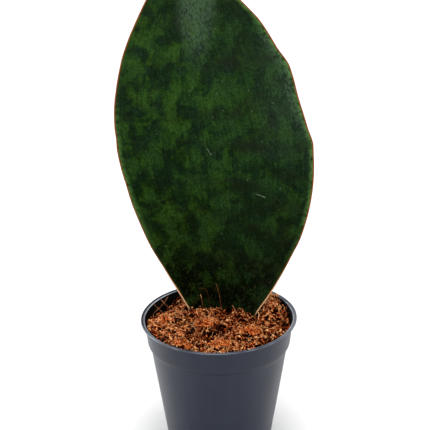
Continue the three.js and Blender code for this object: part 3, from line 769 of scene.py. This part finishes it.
def spread_over_bed(draw, count):
    """Random places, evenly spread over the bed's disc."""
    radius = SPREAD_RADIUS * np.sqrt(draw.uniform(0, 1, count))
    turn = draw.uniform(0, 2 * np.pi, count)
    return radius * np.cos(turn), radius * np.sin(turn)


def tint(draw, x, y, level):
    """A shade, 0 to 1: random from bit to bit, with painted light and shade: lighter on the heaps and
    for bits that lie higher, and darker deep between them, in the hollows and at the right."""
    # Painted light and shade: higher bits and heaps are lighter, deep ones darker.
    high = 0.45 * (level + 1.0) + 0.10 * heaps(x, y) + 0.14 * small_lumps(x, y)
    high = high + 0.12 * ripples(x, y, 13, 5)
    # Painted shade: darker in the hollows and towards the right.
    darkened = 0.25 * bells(x, y, HOLLOWS) + 0.12 * np.clip((x - 15) / 20, 0, 1)
    return np.clip(0.29 + 0.66 * draw.beta(0.7, 0.7, x.shape) + high - darkened, 0, 1.1)


def crumbs(name, seed, count, size, spread=spread_over_bed, ground=loose_height):
    """Crumbs: three uneven rings of five points each, squashed and turned at random, at any depth of
    the loose top."""
    draw = np.random.default_rng(seed)
    tries = int(count * 1.5)
    x, y = spread(draw, tries)
    radius = size * draw.uniform(0.45, 1.3, tries) ** 1.3
    level = draw.uniform(-LOOSE_DEPTH, -0.2, tries)
    centre = np.stack([x, y, ground(x, y) + level], -1)
    keep = clear_of_leaf_and_wall(centre[:, None], radius[:, None])
    centre, radius, level = centre[keep][:count], radius[keep][:count], level[keep][:count]
    count = len(radius)
    turn = np.linspace(0, 2 * np.pi, 5, endpoint=False) + draw.uniform(0, 6, (count, 3, 1))
    wide = np.array([0.8, 1.05, 0.7])[:, None] * draw.uniform(0.7, 1.25, (count, 3, 5))
    tall = np.array([-0.6, 0.05, 0.62])[:, None] * draw.uniform(0.6, 1.1, (count, 1, 1))
    local = np.stack(np.broadcast_arrays(wide * np.cos(turn), wide * np.sin(turn), tall), -1)
    axes = np.linalg.qr(draw.normal(size=(count, 3, 3)))[0]
    placed = np.einsum("bijk,bkl->bijl", local, axes) * radius[:, None, None, None]
    shade = tint(draw, centre[:, 0], centre[:, 1], level)[:, None, None]
    return skin(name, placed + centre[:, None, None], shade=np.broadcast_to(shade, wide.shape))


def fibres(name, seed, count, size, steps, sides, spread=spread_over_bed, ground=loose_height):
    """Fibres that lie in the loose top: each starts somewhere, turns steadily as it goes, and follows
    the ground at its own depth, with its middle raised and one end higher. Its radius swells and
    fades along it. size is its length, radius, bend and lift."""
    draw = np.random.default_rng(seed)
    length, radius, bend, lift = size
    tries = int(count * 1.9)
    x, y = spread(draw, tries)
    t = np.linspace(0, 1, steps)
    length = length * draw.uniform(0.45, 1.4, (tries, 1))
    heading = draw.uniform(0, 2 * np.pi, (tries, 1)) + bend * draw.normal(0, 1, (tries, 1)) * (t - 0.5)
    heading = heading + 0.35 * draw.normal(0, 1, (tries, steps))
    step = length / (steps - 1)
    east = np.cumsum(np.cos(heading) * step, 1)
    north = np.cumsum(np.sin(heading) * step, 1)
    east = x[:, None] + east - east.mean(1, keepdims=True)
    north = y[:, None] + north - north.mean(1, keepdims=True)
    swell = 0.45 + 0.75 * np.sin(np.pi * np.clip(t, 0.06, 0.94))
    thick = radius * draw.uniform(0.55, 1.35, (tries, 1)) * swell
    level = draw.uniform(-LOOSE_DEPTH, 0.5, tries)
    hump = lift * draw.uniform(0.1, 1, (tries, 1)) * (1 - (2 * t - 1) ** 2)
    tilt = lift * draw.normal(0, 1, (tries, 1)) * (t - 0.5)
    height = ground(east, north) + level[:, None] + hump + np.clip(tilt, -1.5, 2.5)
    paths = np.stack([east, north, height], -1)
    keep = clear_of_leaf_and_wall(paths, thick)
    paths, thick, level = paths[keep][:count], thick[keep][:count], level[keep][:count]
    shade = tint(draw, paths[:, 0, 0], paths[:, 0, 1], level)[:, None, None]
    shade = np.broadcast_to(shade, (len(paths), steps, sides))
    return skin(name, tubes(paths, thick, sides), shade=shade)


fibre_coir = coir("coir_fibre", (0.060, 0.010, 0.002), (0.50, 0.074, 0.012), (1.0, 0.36, 0.11), 0.4, 0.5)
crumb_coir = coir("coir_crumb", (0.060, 0.009, 0.001), (0.56, 0.070, 0.009), (1.0, 0.31, 0.075), 0.6, 0.8)
dress(crumbs("coir_crumbs", 11, 4600, 1.2), crumb_coir, "coir")
dress(fibres("coir_chips", 14, 1500, (3.7, 0.7, 0.6, 1.2), 4, 4), crumb_coir, "coir")
dress(fibres("coir_short_fibres", 12, 1100, (6, 0.28, 1.3, 2.4), 6, 3), fibre_coir, "coir")
dress(fibres("coir_long_fibres", 13, 420, (18, 0.2, 2.2, 3), 10, 3), fibre_coir, "coir")

# --------------------------------------------------------------------------------------------------
# The clumps. Six lumps of paler, finer pith and fibre that came out of the bag pressed together and
# lie on top.

CLUMPS = [
    # x, y, half length, half width, height, turn in degrees
    (-10, -5, 11, 7, 4.4, 8), (-28, -38.5, 9.5, 5.2, 3.8, -36), (1, -40.5, 9, 5, 3.4, 4),
    (25, -18, 9, 6.2, 3.8, -30), (-42, 3, 8.5, 6.5, 3.6, 70), (42, 23, 7, 5, 3, -60),
]
CLUMP_GAP = 0.3
CLUMP_AROUND = 64
UNDER_RINGS = 3
OVER_RINGS = 22


def clump(number, x, y, length, width, height, turn):
    """A heap: rings run out under it and back over its top, whose height follows a roughened dome.
    Chips, fibres and crumbs of its own lie in its top, as they do on the bed, and feather its edge."""
    cos, sin = math.cos(math.radians(turn)), math.sin(math.radians(turn))

    def placed(reach, angle):
        uneven = 1 + 0.10 * np.sin(3 * angle + number) + 0.07 * np.sin(5 * angle + 2 * number)
        east, north = reach * uneven * length * np.cos(angle), reach * uneven * width * np.sin(angle)
        return x + cos * east - sin * north, y + sin * east + cos * north

    def heap_height(east, north):
        along, beside = cos * (east - x) + sin * (north - y), cos * (north - y) - sin * (east - x)
        reach = np.hypot(along / length, beside / width)
        dome = height * np.clip(1 - reach**2, 0, 1) ** 0.75
        lumpy = 1 + 0.2 * ripples(east, north, 5, 50 + number)
        return bed_height(east, north) + CLUMP_GAP + dome * lumpy

    def spread_over_clump(draw, count):
        return placed(1.05 * np.sqrt(draw.uniform(0, 1, count)), draw.uniform(0, 2 * np.pi, count))

    share = np.concatenate([np.linspace(0.05, 0.9, UNDER_RINGS), np.linspace(0.93, 0.03, OVER_RINGS)])
    east, north = placed(share[:, None], np.linspace(0, 2 * np.pi, CLUMP_AROUND, endpoint=False))
    underside = bed_height(east, north) + CLUMP_GAP
    rough = 0.3 * ripples(east, north, 2.2, 60 + number) - 0.45
    z = np.maximum(heap_height(east, north) + rough, underside + 0.2)
    z[:UNDER_RINGS] = underside[:UNDER_RINGS]
    name = f"clump_{number}"
    # Its shade follows the roughness of its top: a painted shade, darker in the dips.
    body = skin(name, np.stack([east, north, z], -1), shade=0.85 + 0.5 * rough)
    area = length * width
    loose = {"spread": spread_over_clump, "ground": heap_height}
    return [
        body,
        crumbs(f"{name}_crumbs", 300 + number, int(area * 5), 0.55, **loose),
        fibres(f"{name}_chips", 320 + number, int(area * 0.7), (2.8, 0.42, 0.8, 0.8), 4, 4, **loose),
        fibres(f"{name}_fibres", 340 + number, int(area * 0.9), (5, 0.2, 1.8, 1.4), 6, 3, **loose),
    ]


clump_coir = coir("coir_clump", (0.095, 0.017, 0.003), (0.62, 0.104, 0.016), (1.0, 0.39, 0.11), 0.45)
for number, (x, y, length, width, height, turn) in enumerate(CLUMPS, 1):
    for piece in clump(number, x, y, length, width, height, turn):
        dress(piece, clump_coir, "coir_lump", f"coir_clump_{number}")

# --------------------------------------------------------------------------------------------------
# The single strands. Eleven long dry fibres that stand out of the coir in front of the leaf, cross at
# the left of the lip and curl over it at the right. Each is anchored by an end in the bed.

STRANDS = [
    # shade, radius, and the points that it passes through, one end of which is in the bed
    (0.62, 0.36, [(-11.8, 21, 97.5), (-12.2, 20.8, 103), (-13.1, 20.6, 109), (-14, 20.4, 114.5)]),
    (0.62, 0.36, [(2.4, 22.2, 97.5), (1.8, 22, 104), (0.2, 21.6, 115), (-1.8, 21.2, 122.8)]),
    (0.46, 0.24, [(-6.4, 21.6, 97.5), (-7.2, 21.3, 105), (-8.6, 20.8, 115), (-10.6, 20.4, 119.4),
                  (-15.4, 20, 119.8)]),
    (0.38, 0.24, [(-20.4, 18.8, 97.5), (-20, 18.8, 104), (-18.8, 18.6, 110), (-15.8, 18.2, 112.6),
                  (-15, 18, 115.8)]),
    (0.7, 0.36, [(15.6, 5.2, 98), (14.8, 5.8, 103), (12.4, 7.8, 107.4), (10.2, 10, 110.4)]),
    (0.62, 0.28, [(-46.4, 32, 105.7), (-42.9, 26.2, 104.4), (-39.4, 21, 103.1), (-35.6, 16.9, 101.2),
                  (-33.4, 14, 96.5)]),
    (0.64, 0.26, [(-40.2, 34.6, 105.6), (-43, 23.1, 106), (-47.1, 16.4, 104.2), (-50.8, 11, 102.4),
                  (-51.6, 9.6, 98), (-51.8, 9, 92.5)]),
    (0.62, 0.26, [(-51.2, 23.2, 105.5), (-47.2, 19.4, 102.7), (-44.2, 17.4, 100.6), (-42.6, 16, 95.5)]),
    (1, 0.36, [(30.8, 8, 104.8), (31, 2.4, 105.2), (30.2, -2.6, 104.4), (29.8, -5.4, 98.4)]),
    (0.6, 0.36, [(50, 12.6, 96), (51.8, 14, 102), (53.2, 16, 106), (56.2, 17.4, 108.2)]),
    (0.8, 0.36, [(-17, -19, 97.5), (-17.4, -18.6, 102.6), (-19.6, -16, 105.8), (-24, -13, 106.4)]),
]
STRAND_STEPS = 42
STRAND_SIDES = 8


def through(knots, steps):
    """A smooth path through the knots, on cubics whose slopes are those of the knots on either side."""
    knots = np.asarray(knots, float)
    slopes = np.gradient(knots, axis=0)
    place = np.linspace(0, len(knots) - 1, steps)
    spot = np.minimum(place.astype(int), len(knots) - 2)
    t = (place - spot)[:, None]
    from_here = (2 * t**3 - 3 * t**2 + 1) * knots[spot] + (t**3 - 2 * t**2 + t) * slopes[spot]
    from_next = (3 * t**2 - 2 * t**3) * knots[spot + 1] + (t**3 - t**2) * slopes[spot + 1]
    return from_here + from_next


strand_coir = coir("coir_strand", (0.04, 0.011, 0.003), (0.20, 0.060, 0.018), (0.80, 0.42, 0.20), 0.2)
for number, (shade, radius, knots) in enumerate(STRANDS, 1):
    path = through(knots, STRAND_STEPS)
    t = np.linspace(0, 1, STRAND_STEPS)
    radii = radius * (0.95 - 0.25 * t + 0.07 * np.sin(9 * t + number))
    pale_tip = 0.5 * np.clip((t - 0.75) / 0.2, 0, 1) if number == 1 else 0 * t
    shades = np.broadcast_to((shade + pale_tip)[:, None], (STRAND_STEPS, STRAND_SIDES))
    strand = skin(f"strand_{number}", tubes(path, radii, STRAND_SIDES), shade=shades)
    dress(strand, strand_coir, "coir_strand", f"coir_fibre_{number}")

# --------------------------------------------------------------------------------------------------
# The stage: a plain pale floor, large soft lights on all sides and above, and the camera.

FLOOR_RADIUS = 6.0
FLOOR_SIDES = 96

floor_turn = np.linspace(0, 2 * np.pi, FLOOR_SIDES, endpoint=False)
floor_points = np.stack([np.cos(floor_turn), np.sin(floor_turn), 0 * floor_turn], -1) * FLOOR_RADIUS
floor_mesh = bpy.data.meshes.new("floor")
floor_mesh.from_pydata(floor_points.tolist(), [], [list(range(FLOOR_SIDES))])
floor = bpy.data.objects.new("floor", floor_mesh)
bpy.context.scene.collection.objects.link(floor)
floor_paint, shader, wire = finish_material("floor_paint", Specular_IOR_Level=0.0, Roughness=0.9)
cloud = wire.node("TexCoord", out="Object").noise(300, 2).fade(0.2, 0.8)
cloud.blend((0.90, 0.90, 0.90), (0.92, 0.92, 0.92)).into(shader, "Base Color")
floor_mesh.materials.append(floor_paint)

LIGHTS = [
    # name, place, aimed at, width, height, power in watts, colour, what sees it
    ("light_left", (-1.4, 0.05, 0.7), (0, 0, 0.12), 1.2, 1.2, 3, (1.0, 0.99, 0.98), "all"),
    ("sheen_left", (-1.2, 0.65, 0.35), (0, 0, 0.08), 1.1, 0.9, 96, (0.86, 0.93, 1.0), "gloss"),
    ("light_right", (1.5, 0.25, 0.7), (0, 0, 0.15), 0.9, 1.0, 4, (0.98, 0.99, 1.0), "all"),
    ("sheen_right", (1.5, 0.25, 0.5), (0, 0, 0.1), 0.9, 1.0, 4, (0.98, 0.99, 1.0), "gloss"),
    ("light_above", (0, 0.35, 1.7), (0, 0.3, 0), 2.2, 1.8, 33, (1.0, 1.0, 1.0), "colour"),
    ("light_back", (0, 2.5, 0.85), (0, 0.1, 0.1), 2.6, 1.6, 34, (1.0, 1.0, 1.0), "all"),
    ("light_key", (0.02, -0.45, 1.6), (0, 0, 0.1), 0.5, 0.35, 8, (1.0, 0.99, 0.97), "all"),
    ("light_front", (0, -1.9, 0.6), (0, 0, 0.25), 0.5, 0.4, 6, (1.0, 0.99, 0.97), "all"),
]
for name, place, aim, width, height, power, colour, seen_by in LIGHTS:
    lamp = bpy.data.lights.new(name, "AREA")
    lamp.shape = "RECTANGLE"
    lamp.size = width
    lamp.size_y = height
    lamp.energy = power
    lamp.color = colour
    holder = bpy.data.objects.new(name, lamp)
    holder.visible_camera = False
    holder.visible_glossy = seen_by != "colour"
    holder.visible_diffuse = seen_by != "gloss"
    away = unit(np.array(place) - np.array(aim))
    side = unit(np.cross((0, 0, 1), away))
    axes = np.stack([side, np.cross(away, side), away], -1)
    holder.matrix_world = Matrix.Translation(place) @ Matrix(axes.tolist()).to_4x4()
    bpy.context.scene.collection.objects.link(holder)

world = bpy.data.worlds.new("studio")
world.use_nodes = True
world.node_tree.nodes["Background"].inputs["Color"].default_value = (1.0, 1.0, 1.0, 1)
world.node_tree.nodes["Background"].inputs["Strength"].default_value = 0.15
bpy.context.scene.world = world

CAMERA_PLACE = (0, -1.0727, 0.6429)
CAMERA_PITCH = math.radians(22.88)
CAMERA_YAW = math.radians(-0.125)
CAMERA_ROLL = math.radians(-0.45)
CAMERA_LENS = 130.24

forward = np.array([
    math.sin(CAMERA_YAW) * math.cos(CAMERA_PITCH),
    math.cos(CAMERA_YAW) * math.cos(CAMERA_PITCH),
    -math.sin(CAMERA_PITCH),
])
level = np.array([math.cos(CAMERA_YAW), -math.sin(CAMERA_YAW), 0])
upward = np.cross(level, forward)
right = level * math.cos(CAMERA_ROLL) + upward * math.sin(CAMERA_ROLL)
top = upward * math.cos(CAMERA_ROLL) - level * math.sin(CAMERA_ROLL)
lens = bpy.data.cameras.new("camera")
lens.lens = CAMERA_LENS
lens.sensor_width = 36
camera = bpy.data.objects.new("camera", lens)
axes = np.stack([right, top, -forward], -1)
camera.matrix_world = Matrix.Translation(CAMERA_PLACE) @ Matrix(axes.tolist()).to_4x4()
bpy.context.scene.collection.objects.link(camera)
bpy.context.scene.camera = camera
bpy.context.scene.view_settings.view_transform = "Standard"
